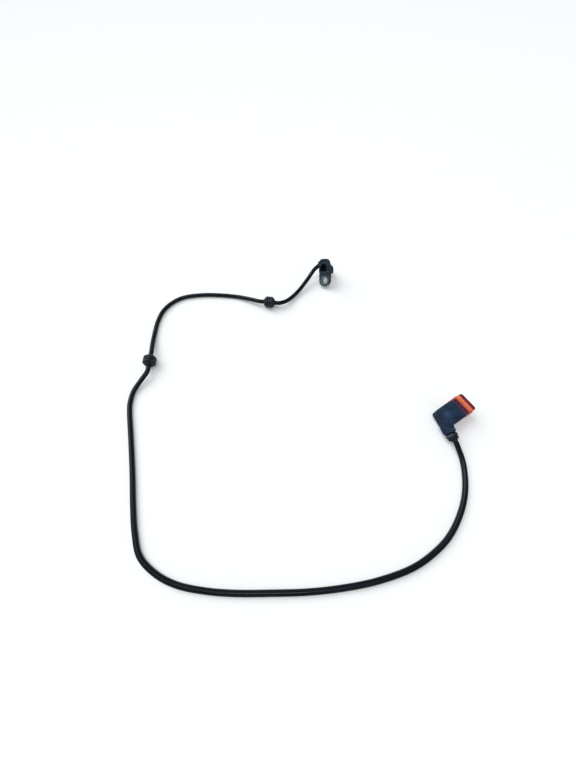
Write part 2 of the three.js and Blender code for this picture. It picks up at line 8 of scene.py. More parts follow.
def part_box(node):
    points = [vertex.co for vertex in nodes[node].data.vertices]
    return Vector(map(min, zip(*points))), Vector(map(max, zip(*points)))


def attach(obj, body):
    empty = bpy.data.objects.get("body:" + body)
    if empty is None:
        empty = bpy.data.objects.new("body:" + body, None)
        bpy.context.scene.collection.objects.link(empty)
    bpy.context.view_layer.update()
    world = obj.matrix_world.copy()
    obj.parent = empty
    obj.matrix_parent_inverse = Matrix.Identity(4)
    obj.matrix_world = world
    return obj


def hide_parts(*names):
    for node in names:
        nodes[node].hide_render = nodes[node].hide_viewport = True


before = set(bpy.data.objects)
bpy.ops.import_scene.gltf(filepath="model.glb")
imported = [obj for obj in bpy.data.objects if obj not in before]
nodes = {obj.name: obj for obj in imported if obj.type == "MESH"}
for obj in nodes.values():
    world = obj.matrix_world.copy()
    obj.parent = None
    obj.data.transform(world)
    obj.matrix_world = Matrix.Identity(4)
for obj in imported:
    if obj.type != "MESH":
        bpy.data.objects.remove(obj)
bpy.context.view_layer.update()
scene = bpy.context.scene
mm = 0.001

# Camera: a phone held over the middle of the cable's loop, looking down
camera = {
    "place": (-0.04749, -0.30163, 0.275),
    "tilt": 28.44,  # degrees from straight down
    "focalPixels": 300,
    "pictureHeight": 768,  # of the 576 by 768 picture
    "sensor": 36,
}
cameraData = bpy.data.cameras.new("phone")
cameraData.sensor_width = camera["sensor"]
cameraData.lens = camera["sensor"] * camera["focalPixels"] / camera["pictureHeight"]
cameraData.clip_start = 0.01
phone = bpy.data.objects.new("phone", cameraData)
phone.location = camera["place"]
phone.rotation_euler = (math.radians(camera["tilt"]), 0, 0)
scene.collection.objects.link(phone)
scene.camera = phone
scene.view_settings.view_transform = "Standard"
print("camera placed")


class Wire:
    # one output of a node; + - and * on wires add the Math nodes
    def __init__(self, maker, socket):
        self.maker = maker
        self.socket = socket

    def maths(self, operation, first, second):
        return self.maker.add("ShaderNodeMath", {"operation": operation}, {0: first, 1: second})

    def __add__(self, other):
        return self.maths("ADD", self, other)

    def __sub__(self, other):
        return self.maths("SUBTRACT", self, other)

    def __rsub__(self, other):
        return self.maths("SUBTRACT", other, self)

    def __mul__(self, other):
        return self.maths("MULTIPLY", self, other)

    __radd__ = __add__
    __rmul__ = __mul__


class NodeMaker:
    def __init__(self, tree):
        self.tree = tree
        tree.nodes.clear()

    def add(self, kind, settings=None, sockets=None, output=0):
        node = self.tree.nodes.new(kind)
        for name, value in (settings or {}).items():
            setattr(node, name, value)
        for name, value in (sockets or {}).items():
            if isinstance(value, Wire):
                self.tree.links.new(value.socket, node.inputs[name])
            else:
                node.inputs[name].default_value = value
        return Wire(self, node.outputs[output]) if node.outputs else node

    def given(self, label):
        return self.add("NodeGroupInput", output=label)


def noise(maker, place, scale, detail=3.0, stretch=(1, 1, 1)):
    spread = maker.add("ShaderNodeMapping", None, {"Vector": place, "Scale": stretch})
    return maker.add("ShaderNodeTexNoise", None, {"Vector": spread, "Scale": scale, "Detail": detail})


def mixed(maker, factor, first, second):
    settings = {"data_type": "RGBA"}
    return maker.add("ShaderNodeMix", settings, {0: factor, 6: (*first, 1), 7: (*second, 1)}, 2)


def between(maker, value, low, high):
    return maker.add("ShaderNodeMapRange", None, {"Value": value, "From Min": low, "From Max": high})


def bumped(maker, height, strength, depth):
    sockets = {"Height": height, "Strength": strength, "Distance": depth * mm}
    return maker.add("ShaderNodeBump", None, sockets)


def startMaterial(name):
    material = bpy.data.materials.new(name)
    material.use_nodes = True
    return material, NodeMaker(material.node_tree)


def surface(maker, colour, roughness, normal, **fixed):
    sockets = {"Base Color": colour, "Roughness": roughness, "Normal": normal}
    sockets.update({name.replace("_", " "): value for name, value in fixed.items()})
    shader = maker.add("ShaderNodeBsdfPrincipled", None, sockets)
    maker.add("ShaderNodeOutputMaterial", None, {"Surface": shader})


# One colour times a shade between 0 and 1
def dimmed(maker, colour, shade):
    grey = maker.add("ShaderNodeCombineColor", None, {0: shade, 1: shade, 2: shade})
    settings = {"data_type": "RGBA", "blend_type": "MULTIPLY"}
    return maker.add("ShaderNodeMix", settings, {0: 1.0, 6: colour, 7: grey}, 2)


# Moulded plastic: fine spark-eroded grain, slow cloudy shade, a few rubbed patches;
# it darkens by the painted shade that the piece carries, in corners and pockets
def mouldedPlastic(name, dark, light, roughness, grain=0.35, specular=0.08):
    material, maker = startMaterial(name)
    place = maker.add("ShaderNodeTexCoord", output="Object")
    cloud = between(maker, noise(maker, place, 140, 4), 0.35, 0.65)
    fine = noise(maker, place, 1 / (grain * mm), 2)
    rubbed = between(maker, noise(maker, place, 420, 5), 0.58, 0.72)
    paintedShade = maker.add("ShaderNodeAttribute", {"attribute_name": "paintedShade"}, output="Fac")
    colour = mixed(maker, cloud * 0.7 + rubbed * 0.3, dark, light)
    colour = dimmed(maker, colour, 1 - 0.85 * paintedShade)
    shine = roughness + 0.12 * (cloud - 0.5) - 0.1 * rubbed + 0.08 * (fine - 0.5) + 0.3 * paintedShade
    normal = bumped(maker, fine, 0.35, 0.03)
    surface(maker, colour, shine, normal, Specular_IOR_Level=specular)
    return material


# Extruded jacket: smooth, with a shine and a tint that come and go along its length
def extrudedJacket(name, dark, light, roughness):
    material, maker = startMaterial(name)
    wrap = maker.add("ShaderNodeAttribute", {"attribute_name": "wrap"}, output="Vector")
    lines = noise(maker, wrap, 3, 2, (1, 1, 0.6))
    slow = between(maker, noise(maker, wrap, 1, 3, (0.3, 0.3, 18)), 0.36, 0.64)
    marks = between(maker, noise(maker, wrap, 1, 3, (0.6, 0.6, 45)), 0.58, 0.7)
    colour = mixed(maker, slow * 0.7 + marks * 0.3, dark, light)
    shine = roughness + 0.16 * (slow - 0.5) - 0.06 * marks + 0.02 * (lines - 0.5)
    normal = bumped(maker, lines, 0.1, 0.02)
    surface(maker, colour, shine, normal, Specular_IOR_Level=0.16)
    return material


# Moulded rubber: dull, a little chalky where it has been rubbed, darkened by painted shade down in its
# grooves
def mouldedRubber(name, dark, light, roughness, specular=0.2):
    material, maker = startMaterial(name)
    place = maker.add("ShaderNodeTexCoord", output="Object")
    paintedShade = maker.add("ShaderNodeAttribute", {"attribute_name": "paintedShade"}, output="Fac")
    patch = between(maker, noise(maker, place, 260, 5), 0.4, 0.7)
    fine = noise(maker, place, 2600, 3)
    colour = dimmed(maker, mixed(maker, patch, dark, light), 1 - 0.85 * paintedShade)
    shine = roughness + 0.14 * (patch - 0.5) + 0.1 * (fine - 0.5) + 0.3 * paintedShade
    normal = bumped(maker, fine + 0.6 * patch, 0.4, 0.04)
    surface(maker, colour, shine, normal, Specular_IOR_Level=specular)
    return material


# A moulding whose colour changes along the plug, at the given place in millimetres, darkened by the
# painted shade that the piece carries
def bandedMoulding(name, behind, ahead, change, roughness, specular=0.22):
    material, maker = startMaterial(name)
    along = maker.add("ShaderNodeAttribute", {"attribute_name": "along"}, output="Fac")
    place = maker.add("ShaderNodeTexCoord", output="Object")
    cloud = noise(maker, place, 380, 4)
    fine = noise(maker, place, 2400, 2)
    paintedShade = maker.add("ShaderNodeAttribute", {"attribute_name": "paintedShade"}, output="Fac")
    passed = between(maker, along + 0.5 * (cloud - 0.5), *change)
    shaded = maker.add("ShaderNodeMapRange", None, {"Value": cloud, "To Min": 0.75, "To Max": 1.2})
    colour = dimmed(maker, mixed(maker, passed, behind, ahead), shaded * (1 - 0.9 * paintedShade))
    shine = roughness + 0.12 * (cloud - 0.5) + 0.08 * (fine - 0.5)
    surface(maker, colour, shine, bumped(maker, fine, 0.3, 0.03), Specular_IOR_Level=specular)
    return material


# Turned metal: rings of the cutting tool, a slow uneven tarnish, dark where it carries painted shade
def turnedMetal(name, dark, light, roughness):
    material, maker = startMaterial(name)
    wrap = maker.add("ShaderNodeAttribute", {"attribute_name": "wrap"}, output="Vector")
    rings = noise(maker, wrap, 1, 2, (0.2, 0.2, 9000))
    tarnish = between(maker, noise(maker, wrap, 2.2, 5, (1, 1, 400)), 0.35, 0.7)
    paintedShade = maker.add("ShaderNodeAttribute", {"attribute_name": "paintedShade"}, output="Fac")
    colour = dimmed(maker, mixed(maker, tarnish, light, dark), 1 - 0.9 * paintedShade)
    shine = roughness + 0.2 * (tarnish - 0.4) + 0.1 * (rings - 0.5)
    normal = bumped(maker, rings, 0.3, 0.02)
    surface(maker, colour, shine, normal, Metallic=1.0)
    return material


# Stamped or ground metal, plated: stretched grain with a few dull spots
def stampedMetal(name, dark, light, roughness):
    material, maker = startMaterial(name)
    place = maker.add("ShaderNodeTexCoord", output="Object")
    drawn = noise(maker, place, 900, 3, (0.15, 1, 1))
    spots = between(maker, noise(maker, place, 1500, 4), 0.5, 0.7)
    colour = mixed(maker, drawn * 0.6 + spots * 0.4, light, dark)
    shine = roughness + 0.15 * spots
    surface(maker, colour, shine, bumped(maker, drawn, 0.3, 0.02), Metallic=1.0)
    return material


finishes = {
    "housing": mouldedPlastic("housingPlastic", (0.027, 0.046, 0.062), (0.062, 0.106, 0.142), 0.5),
    "cover": mouldedPlastic("coverPlastic", (0.022, 0.044, 0.088), (0.042, 0.088, 0.17), 0.5),
    "violet": bandedMoulding(
        "violetPlastic", (0.1, 0.022, 0.05), (0.2, 0.025, 0.03), (11.2, 11.8), 0.45
    ),
    "carrier": mouldedPlastic("carrierPlastic", (0.025, 0.02, 0.016), (0.04, 0.032, 0.026), 0.5),
    "chip": mouldedPlastic("chipBody", (0.008, 0.008, 0.009), (0.016, 0.016, 0.018), 0.35, 0.15),
    "lock": mouldedPlastic("lockPlastic", (0.5, 0.47, 0.41), (0.6, 0.57, 0.5), 0.5),
    "brownCore": mouldedPlastic("brownInsulation", (0.08, 0.028, 0.012), (0.12, 0.04, 0.018), 0.3),
    "blueCore": mouldedPlastic("blueInsulation", (0.014, 0.04, 0.13), (0.022, 0.06, 0.19), 0.3),
    "jacket": extrudedJacket("cableJacket", (0.001, 0.002, 0.004), (0.005, 0.009, 0.016), 0.3),
    "rubber": mouldedRubber("blackRubber", (0.008, 0.014, 0.021), (0.044, 0.066, 0.088), 0.45),
    # the seal's paler salmon front is a painted highlight on the orange
    "seal": bandedMoulding(
        "orangeSilicone", (0.66, 0.14, 0.045), (0.93, 0.25, 0.14), (14.8, 15.6), 0.38
    ),
    # the retainer's dark front rim is painted shade on the same violet
    "violetWithPaintedRimShade": bandedMoulding(
        "violetWithPaintedRimShade", (0.26, 0.033, 0.052), (0.06, 0.004, 0.02), (18.3, 18.9), 0.4
    ),
    "steel": turnedMetal("bushSteel", (0.2, 0.25, 0.27), (0.46, 0.54, 0.56), 0.42),
    "contact": stampedMetal("contactMetal", (0.42, 0.31, 0.12), (0.66, 0.53, 0.26), 0.3),
    "magnet": stampedMetal("groundMagnet", (0.06, 0.06, 0.065), (0.12, 0.12, 0.13), 0.45),
    "wireSeal": mouldedRubber("orangeWireSeal", (0.6, 0.1, 0.02), (0.85, 0.18, 0.05), 0.4),
}
print("finishes mixed:", len(finishes))


# Plane figures, in millimetres, anticlockwise
def arc(x, y, radius, start, end, steps=12):
    angles = [math.radians(start + (end - start) * i / steps) for i in range(steps + 1)]
    return [Vector((x + radius * math.cos(a), y + radius * math.sin(a))) for a in angles]


def roundedRectangle(halfWidth, halfHeight, radius, steps=8):
    right = halfWidth - radius
    high = halfHeight - radius
    centres = [(right, -high, -90), (right, high, 0), (-right, high, 90), (-right, -high, 180)]
    return [p for x, y, start in centres for p in arc(x, y, radius, start, start + 90, steps)]


def inset(outline, distance):
    moved = []
    for i, point in enumerate(outline):
        before = (point - outline[i - 1]).normalized()
        after = (outline[(i + 1) % len(outline)] - point).normalized()
        inward = Vector((-before.y - after.y, before.x + after.x)).normalized()
        across = inward.dot(Vector((-after.y, after.x)))
        moved.append(point + inward * (distance / max(across, 0.5)))
    return moved


# Each corner of a section becomes a short curve; the points on the axis stay
def softened(profile, radius, closed=True, steps=4):
    points = [Vector(point) for point in profile]
    smooth = []
    for i, point in enumerate(points):
        if not closed and i in (0, len(points) - 1):
            smooth.append(point)
            continue
        toBefore = points[i - 1] - point
        toAfter = points[(i + 1) % len(points)] - point
        reach = min(radius, toBefore.length * 0.45, toAfter.length * 0.45)
        start = point + toBefore.normalized() * reach
        end = point + toAfter.normalized() * reach
        for step in range(steps + 1):
            t = step / steps
            smooth.append(start * (1 - t) ** 2 + point * 2 * t * (1 - t) + end * t**2)
    return smooth


# Mesh helpers: every shape is made in millimetres in its own frame, then settled in metres
def meshPiece(name, points, faces, wrap=None):
    mesh = bpy.data.meshes.new(name)
    mesh.from_pydata([tuple(point) for point in points], [], faces)
    if wrap:
        attribute = mesh.attributes.new("wrap", "FLOAT_VECTOR", "POINT")
        attribute.data.foreach_set("vector", [value for item in wrap for value in item])
    work = bmesh.new()
    work.from_mesh(mesh)
    bmesh.ops.recalc_face_normals(work, faces=work.faces)
    work.to_mesh(mesh)
    work.free()
    piece = bpy.data.objects.new(name, mesh)
    scene.collection.objects.link(piece)
    return piece


def loft(name, rings, closed=False, wrap=None):
    count = len(rings[0])
    points = [point for ring in rings for point in ring]
    pairs = len(rings) if closed else len(rings) - 1
    faces = []
    for i in range(pairs):
        here = i * count
        there = (i + 1) % len(rings) * count
        for j in range(count):
            k = (j + 1) % count
            faces.append((here + j, here + k, there + k, there + j))
    if not closed:
        faces.append(tuple(range(count))[::-1])
        faces.append(tuple(range(len(points) - count, len(points))))
    return meshPiece(name, points, faces, wrap)


def roundedEdge(edge, steps=4):
    # (inset, depth) pairs from the face of a block round its edge to the side
    quarter = [math.radians(90 * i / steps) for i in range(steps + 1)]
    return [(edge * (1 - math.sin(a)), edge * (1 - math.cos(a))) for a in quarter]


def prism(name, outline, low, high, lowEdge=0.0, highEdge=0.0):
    rings = []
    for distance, depth in roundedEdge(lowEdge) if lowEdge else [(0, 0)]:
        rings.append([(*point, low + depth) for point in inset(outline, distance)])
    for distance, depth in reversed(roundedEdge(highEdge) if highEdge else [(0, 0)]):
        rings.append([(*point, high - depth) for point in inset(outline, distance)])
    return loft(name, rings)


def sleeveRings(sizes):
    # (x, halfWidth, halfHeight, radius) sections of a bar along X
    return [[(x, *point) for point in roundedRectangle(*size)] for x, *size in sizes]


def sleeve(name, start, end, halfWidth, halfHeight, radius, startEdge=0.0, endEdge=0.0):
    sizes = []
    for distance, depth in roundedEdge(startEdge) if startEdge else [(0, 0)]:
        sizes.append((start + depth, halfWidth - distance, halfHeight - distance, radius - distance))
    for distance, depth in reversed(roundedEdge(endEdge) if endEdge else [(0, 0)]):
        sizes.append((end - depth, halfWidth - distance, halfHeight - distance, radius - distance))
    return loft(name, sleeveRings(sizes))


def turned(name, profile, sides=48):
    # closed (radius, height) section turned about Z, with its wrap for the finish
    angles = [2 * math.pi * j / sides for j in range(sides)]
    rings = [[(r * math.cos(a), r * math.sin(a), z) for a in angles] for r, z in profile]
    wrap = []
    along = 0.0
    for i, point in enumerate(profile):
        along += (point - profile[i - 1]).length * mm if i else 0
        wrap += [(math.cos(a), math.sin(a), along) for a in angles]
    return loft(name, rings, profile[0][0] > 0.01, wrap)


def rod(name, radius, low, high, edge=0.0, sides=48):
    angles = [2 * math.pi * j / sides for j in range(sides)]
    outline = [Vector((radius * math.cos(a), radius * math.sin(a))) for a in angles]
    return prism(name, outline, low, high, edge, edge)


def block(name, size, centre):
    x, y, z = (value / 2 for value in size)
    outline = [Vector(corner) for corner in ((-x, -y), (x, -y), (x, y), (-x, y))]
    return moved(prism(name, outline, -z, z), Matrix.Translation(centre))


def moved(piece, matrix):
    piece.data.transform(matrix)
    return piece


def aimed(start, direction):
    turn = Vector(direction).to_track_quat("Z", "Y").to_matrix().to_4x4()
    return Matrix.Translation(start) @ turn


def baked(piece):
    bpy.context.view_layer.update()
    depsgraph = bpy.context.evaluated_depsgraph_get()
    mesh = bpy.data.meshes.new_from_object(piece.evaluated_get(depsgraph))
    piece.modifiers.clear()
    piece.data = mesh
    return piece


def combined(piece, others, operation):
    for other in others:
        modifier = piece.modifiers.new(operation, "BOOLEAN")
        modifier.operation = operation
        modifier.solver = "MANIFOLD"
        modifier.object = other
    baked(piece)
    for other in others:
        bpy.data.objects.remove(other)
    return piece


# Runs every edge and inner corner together, as a moulding has them
def mouldedSkin(piece, voxel, rounds):
    remesh = piece.modifiers.new("skin", "REMESH")
    remesh.mode = "VOXEL"
    remesh.voxel_size = voxel
    smooth = piece.modifiers.new("ease", "SMOOTH")
    smooth.factor = 0.5
    smooth.iterations = rounds
    return baked(piece)


def settled(piece, place, finish, slot, *replaced):
    piece.data.transform(Matrix.Scale(mm, 4) @ place)
    piece.data.materials.clear()
    piece.data.materials.append(finishes[finish])
    piece.data.shade_smooth()
    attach(piece, "root")
    if replaced:
        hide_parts(*replaced)
    return piece


# Keeps each point's place along the plug, for the finishes whose colour changes there
def measured(piece):
    along = piece.data.attributes.new("along", "FLOAT", "POINT")
    along.data.foreach_set("value", [vertex.co.x for vertex in piece.data.vertices])
    return piece


def limited(value, most=1.0):
    return max(0.0, min(most, value))


# Keeps the painted shade of each point, from 0 to 1, by a rule on its place
def withPaintedShade(piece, rule):
    paintedShade = piece.data.attributes.new("paintedShade", "FLOAT", "POINT")
    paintedShade.data.foreach_set("value", [min(1.0, rule(vertex.co)) for vertex in piece.data.vertices])
    return piece


def crisp(piece, angle=35):
    piece.data.set_sharp_from_angle(angle=math.radians(angle))
    return piece


# Geometry Nodes: a tree with named sizes, and its result as a plain mesh
def geometryTree(name, sizes):
    tree = bpy.data.node_groups.new(name, "GeometryNodeTree")
    tree.interface.new_socket(name="Geometry", in_out="INPUT", socket_type="NodeSocketGeometry")
    for label, kind in sizes.items():
        tree.interface.new_socket(name=label, in_out="INPUT", socket_type="NodeSocket" + kind)
    tree.interface.new_socket(name="Geometry", in_out="OUTPUT", socket_type="NodeSocketGeometry")
    return tree, NodeMaker(tree)


def endTree(maker, geometry):
    real = maker.add("GeometryNodeRealizeInstances", None, {"Geometry": geometry})
    material = maker.given("Finish")
    done = maker.add("GeometryNodeSetMaterial", None, {"Geometry": real, "Material": material})
    maker.add("NodeGroupOutput", None, {"Geometry": done})


def grown(piece, tree, values):
    modifier = piece.modifiers.new(tree.name, "NODES")
    modifier.node_group = tree
    for item in tree.interface.items_tree:
        if item.in_out == "INPUT" and item.name in values:
            modifier[item.identifier] = values[item.name]
    return baked(piece)


# A round jacket swept along a line, each point keeping where it lies round and along it
def jacketTree():
    tree, maker = geometryTree("jacketSweep", {"Radius": "Float", "Sides": "Int", "Finish": "Material"})
    line = maker.add("GeometryNodeMeshToCurve", None, {"Mesh": maker.given("Geometry")})
    length = maker.add("GeometryNodeSplineParameter", output="Length")
    stored = {"data_type": "FLOAT", "domain": "POINT"}
    line = maker.add(
        "GeometryNodeStoreNamedAttribute", stored, {"Geometry": line, "Name": "along", "Value": length}
    )
    sizes = {"Resolution": maker.given("Sides"), "Radius": maker.given("Radius")}
    circle = maker.add("GeometryNodeCurvePrimitiveCircle", {"mode": "RADIUS"}, sizes)
    around = maker.add("GeometryNodeInputPosition")
    around = maker.add("ShaderNodeVectorMath", {"operation": "NORMALIZE"}, {0: around})
    stored = {"data_type": "FLOAT_VECTOR", "domain": "POINT"}
    circle = maker.add(
        "GeometryNodeStoreNamedAttribute", stored, {"Geometry": circle, "Name": "around", "Value": around}
    )
    ends = {"Curve": line, "Profile Curve": circle, "Fill Caps": True}
    tube = maker.add("GeometryNodeCurveToMesh", None, ends)
    named = {"data_type": "FLOAT_VECTOR"}
    around = maker.add("GeometryNodeInputNamedAttribute", named, {"Name": "around"})
    x = maker.add("ShaderNodeSeparateXYZ", None, {0: around}, "X")
    y = maker.add("ShaderNodeSeparateXYZ", None, {0: around}, "Y")
    along = maker.add("GeometryNodeInputNamedAttribute", {"data_type": "FLOAT"}, {"Name": "along"})
    wrap = maker.add("ShaderNodeCombineXYZ", None, {"X": x, "Y": y, "Z": along})
    tube = maker.add(
        "GeometryNodeStoreNamedAttribute", stored, {"Geometry": tube, "Name": "wrap", "Value": wrap}
    )
    endTree(maker, tube)
    return tree


# A row of square pockets sunk into both faces of the collar
def pocketTree():
    sizes = {"Count": "Int", "Pitch": "Float", "Size": "Float", "Depth": "Float"}
    sizes.update({"Along": "Float", "Face": "Float", "Finish": "Material"})
    tree, maker = geometryTree("collarPockets", sizes)
    size = maker.given("Size")
    deep = 2 * maker.given("Depth")
    box = maker.add("ShaderNodeCombineXYZ", None, {"X": size, "Y": size, "Z": deep})
    cutter = maker.add("GeometryNodeMeshCube", None, {"Size": box})
    carved = maker.given("Geometry")
    for side in (-1, 1):
        half = maker.given("Pitch") * (maker.given("Count") - 1) * -0.5
        places = {"X": maker.given("Along"), "Y": half, "Z": side * maker.given("Face")}
        start = maker.add("ShaderNodeCombineXYZ", None, places)
        step = maker.add("ShaderNodeCombineXYZ", None, {"Y": maker.given("Pitch")})
        ends = {"Count": maker.given("Count"), "Start Location": start, "Offset": step}
        row = maker.add("GeometryNodeMeshLine", {"mode": "OFFSET"}, ends)
        cutters = maker.add("GeometryNodeInstanceOnPoints", None, {"Points": row, "Instance": cutter})
        cutters = maker.add("GeometryNodeRealizeInstances", None, {"Geometry": cutters})
        settings = {"operation": "DIFFERENCE", "solver": "EXACT"}
        carved = maker.add("GeometryNodeMeshBoolean", settings, {"Mesh 1": carved, "Mesh 2": cutters})
    endTree(maker, carved)
    return tree


# Cable: the same route as the frame's, in millimetres, from the head to the plug
cable = {
    "radius": 2.4,
    "sides": 32,
    "stepsBetween": 8,  # rings between two route points
    "length": 0.856,
    "exit": (-7.74, 5.03, 19.66),
    "route": [
        (-6.54, 5.39, 20.7), (-11.34, 3.78, 16.5), (-14.64, 2.63, 13.46), (-19.04, -2.27, 9.8),
        (-24.64, -10.37, 7.1), (-33.84, -23.57, 4.4), (-43.84, -35.87, 4),
        (-50.74, -43.07, 5.6), (-57.84, -46.57, 6.7), (-64.74, -45.87, 6.7),
        (-74.74, -44.67, 6.7), (-81.64, -43.87, 6.7), (-94.24, -38.37, 4.9),
        (-109.64, -32.67, 2.7), (-132.04, -29.77, 2.45), (-155.24, -29.77, 2.45),
        (-175.44, -33.87, 2.45), (-187.24, -42.17, 2.45), (-195.64, -54.97, 2.45),
        (-198.94, -71.07, 2.45), (-198.94, -88.27, 2.6), (-197.24, -104.47, 4.4),
        (-194.84, -117.67, 6.7), (-194.54, -124.67, 6.7), (-194.14, -134.67, 6.7),
        (-194.04, -141.67, 6.7), (-199.34, -151.87, 4.9), (-204.74, -162.67, 2.7),
        (-205.24, -175.47, 2.45), (-203.14, -185.77, 2.45), (-195.84, -210.27, 2.45),
        (-186.14, -243.57, 2.45), (-178.14, -273.37, 2.45), (-172.44, -291.57, 2.45),
        (-164.64, -308.27, 2.45), (-149.74, -320.07, 2.45), (-132.24, -327.27, 2.45),
        (-109.24, -331.17, 2.45), (-86.94, -332.57, 2.45), (-59.94, -332.47, 2.45),
        (-32.94, -331.77, 2.45), (-5.74, -329.27, 2.45), (21.46, -324.67, 2.45),
        (48.76, -316.57, 2.45), (66.16, -307.57, 2.45), (82.06, -295.67, 2.45),
        (95.36, -279.77, 2.45), (105.26, -261.27, 2.45), (110.06, -242.57, 2.45),
        (110.36, -231.37, 3.5), (108.56, -223.57, 5.4), (106.95, -217.85, 6.98),
        (104.8, -211.72, 7.21), (102.49, -205.17, 7.44),
    ],
}


# Centripetal Catmull-Rom through the route's points
def smoothRoute(points, steps):
    ends = [points[0] * 2 - points[1], *points, points[-1] * 2 - points[-2]]
    path = []
    for before, start, end, after in zip(ends, ends[1:], ends[2:], ends[3:]):
        gaps = [math.sqrt((b - a).length) for a, b in ((before, start), (start, end), (end, after))]
        straight = (end - start) / gaps[1]
        leave = (start - before) / gaps[0] - (end - before) / (gaps[0] + gaps[1]) + straight
        reach = straight - (after - start) / (gaps[1] + gaps[2]) + (after - end) / gaps[2]
        leave *= gaps[1]
        reach *= gaps[1]
        for step in range(steps):
            t = step / steps
            bend = (end - start) * 3 - leave * 2 - reach
            twist = (start - end) * 2 + leave + reach
            path.append(start + leave * t + bend * t**2 + twist * t**3)
    path.append(points[-1])
    return path


def makeCable():
    route = smoothRoute([Vector(point) * mm for point in cable["route"]], cable["stepsBetween"])
    mesh = bpy.data.meshes.new("cableJacket")
    mesh.from_pydata(route, [(i, i + 1) for i in range(len(route) - 1)], [])
    piece = bpy.data.objects.new("cableJacket", mesh)
    scene.collection.objects.link(piece)
    values = {"Radius": cable["radius"] * mm, "Sides": cable["sides"], "Finish": finishes["jacket"]}
    grown(piece, jacketTree(), values)
    settled(piece, Matrix.Scale(1 / mm, 4), "jacket", "cable_jacket", "cable")
    print("cable swept:", round(sum((b - a).length for a, b in zip(route, route[1:])), 4), "m")
    return piece, route


cableJacket, cablePath = makeCable()


def turn(axis, angle):
    return Matrix.Rotation(math.radians(angle), 4, axis)


def frameAt(node, localCentre, rotation):
    low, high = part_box(node)
    centre = (low + high) / (2 * mm)
    return Matrix.Translation(centre - rotation @ Vector(localCentre)) @ rotation


# Grommets: rubber sleeves with three lips
grommet = {
    "bore": 2.45,
    "endRadius": 3.4,
    "grooveRadius": 5.9,
    "lipRadius": 6.7,
    "halfLength": 6.5,
    "shoulder": 4.1,
    "lips": 3,
    "lipRise": 0.3,
    "soften": 0.5,
    "sides": 56,
    # painted shade on the end slopes beyond the lips
    "endShade": 0.4,
    "places": {
        "nearHeadGrommet": ("grommet_near_head", (-69.7, -45.3, 6.7), -7),
        "midCableGrommet": ("grommet_mid_cable", (-194.4, -128.2, 6.7), 92.4),
    },
}


def grommetProfile():
    shoulder = grommet["shoulder"]
    pitch = 2 * shoulder / grommet["lips"]
    rise = grommet["lipRise"] * pitch
    end = grommet["halfLength"]
    profile = [(grommet["bore"], -end), (grommet["endRadius"], -end)]
    profile.append((grommet["grooveRadius"], -shoulder))
    for i in range(grommet["lips"]):
        low = -shoulder + i * pitch
        profile += [(grommet["lipRadius"], low + rise), (grommet["lipRadius"], low + pitch - rise)]
        profile.append((grommet["grooveRadius"], low + pitch))
    profile += [(grommet["endRadius"], end), (grommet["bore"], end)]
    return softened(profile, grommet["soften"])


# Painted shade: dark down in the grooves, partly dark on the slopes to the cable
def paintedGrooveShade(point):
    if abs(point.z) >= grommet["shoulder"]:
        return grommet["endShade"]
    radius = math.hypot(point.x, point.y)
    return limited((grommet["lipRadius"] - radius) / (grommet["lipRadius"] - grommet["grooveRadius"]))


def makeGrommets():
    made = []
    for name, (node, place, heading) in grommet["places"].items():
        angle = math.radians(heading)
        along = aimed(place, (math.cos(angle), math.sin(angle), 0))
        piece = withPaintedShade(turned(name, grommetProfile(), grommet["sides"]), paintedGrooveShade)
        made.append(settled(piece, along, "rubber", "black_rubber", node))
    print("grommets turned:", len(made))
    return made


grommets = makeGrommets()


# Sensing head: X across the flange, Y from the bush to the far end, Z out of its outer face
head = {
    "lean": 47.4,
    "roll": -21,
    "turn": 3,
    "flangeHalfWidth": 6.8,
    "flangeThickness": 7.5,
    "flangeEnd": 22.9,
    "flangeCorner": 6.2,
    "flangeEdge": 0.6,
    "domeHalfWidth": 6.6,
    "domeStart": 8.4,
    "domeEnd": 24.8,
    "domeBottom": 5.5,
    "domeTop": 10.4,
    "domeEdge": 1.2,
    "domeFoot": 2,
    "domeCorner": 4.6,
    "pocketX": -0.8,
    "pocketHalfWidth": 3.9,
    "pocketStart": 10.4,
    "pocketEnd": 19,
    "pocketFloor": 6.3,
    "pocketFoot": 0.8,
    "pocketEdge": 0.6,
    "noseY": 13.6,
    "noseHalfWidth": 6.8,
    "noseHalfHeight": 5.5,
    "noseFoot": 1.5,
    "noseLength": 15.7,
    "noseEdge": 0.7,
    "noseWall": 1.4,
    "noseRoot": 2,
    "collarStand": 0.6,
    "collarHeight": 1.1,
    "ribWidth": 1.2,
    "ribHeight": 0.35,
    "ribTop": -1.6,
    "ribLength": 10,
    "ribSpread": 3.2,
    "grooveStart": -13.5,
    "grooveWidth": 1.1,
    "grooveDepth": 0.5,
    "outlet": (-6.4, 19.3, 3.2),
    "outletSlant": 38,
    "outletRadius": 3.4,
    "outletInside": 3,
    "outletReach": 1.2,
    "outletEdge": 0.5,
    "cableGap": 0.08,
    "bushBore": 4.8,
    "noseRoom": (4.2, 4.6),
    "sideRoom": ((-0.9, 18.4), 2.7, 1, 5.1),
    "coreWay": 2.1,
    "coreWayBack": 0.6,
    "voxel": 0.24,
    "easeRounds": 4,
}
past = 2  # how far a cutter runs past the face it opens
hair = 0.01  # keeps two arcs of an outline from ending in one point


def bluntOutline(x, halfWidth, start, end, foot, corner):
    # square-footed towards the bush, round towards the far end
    left = x - halfWidth
    right = x + halfWidth
    outline = arc(left + foot, start + foot, foot, 180, 270, 5)
    outline += arc(right - foot, start + foot, foot, 270, 360, 5)
    outline += arc(right - corner, end - corner, corner, 0, 90)
    return outline + arc(left + corner, end - corner, corner, 90, 180)


def noseOutline(stand=0.0):
    halfWidth = head["noseHalfWidth"] + stand
    halfHeight = head["noseHalfHeight"] + stand
    y = head["noseY"]
    return bluntOutline(0, halfWidth, y - halfHeight, y + halfHeight, head["noseFoot"], halfHeight)


